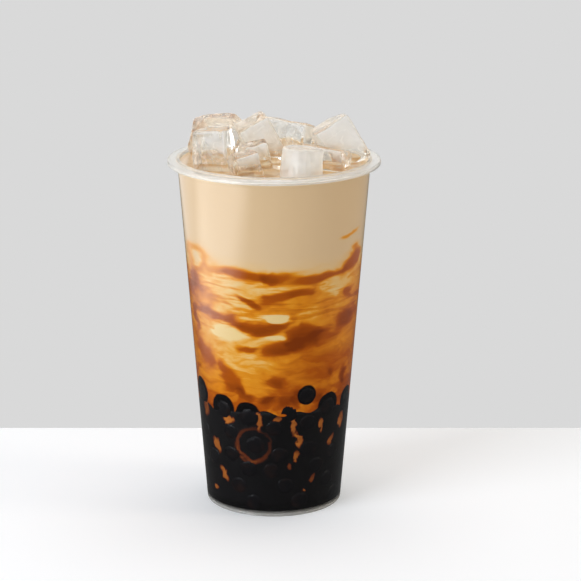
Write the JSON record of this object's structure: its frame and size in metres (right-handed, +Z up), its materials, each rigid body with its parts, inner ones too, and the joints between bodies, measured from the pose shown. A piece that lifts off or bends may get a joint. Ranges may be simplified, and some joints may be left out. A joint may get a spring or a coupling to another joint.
{
  "type": "bubble tea",
  "caption": "Clear take-away cup of milk tea marbled with brown sugar syrup, with dark tapioca pearls at the bottom and ice heaped above the rim.",
  "frame": {"origin": "on the cup's axis, in the plane of the foot ring's underside", "axes": "+Z up along the cup's axis, -Y towards the front of the ice heap, +X to the right seen from the front"},
  "size_m": [0.095, 0.095, 0.1787],
  "materials": {
    "clear_plastic": "clear, slightly milky at the rim, smooth",
    "milk_tea": "opaque liquid, wet",
    "tapioca": "wet, glossy, slightly translucent",
    "ice": "clear, wet, partly clouded"
  },
  "bodies": {
    "root": {"cup": "clear_plastic", "milk_tea": "milk_tea", "pearls": "tapioca", "ice_back_left": "ice", "ice_front_left": "ice", "ice_peak": "ice", "ice_back_slab": "ice", "ice_wedge": "ice", "ice_right_block": "ice", "ice_low_left": "ice", "ice_middle": "ice", "ice_back_middle": "ice", "ice_back_right": "ice", "ice_bullet": "ice"}
  },
  "joints": []
}
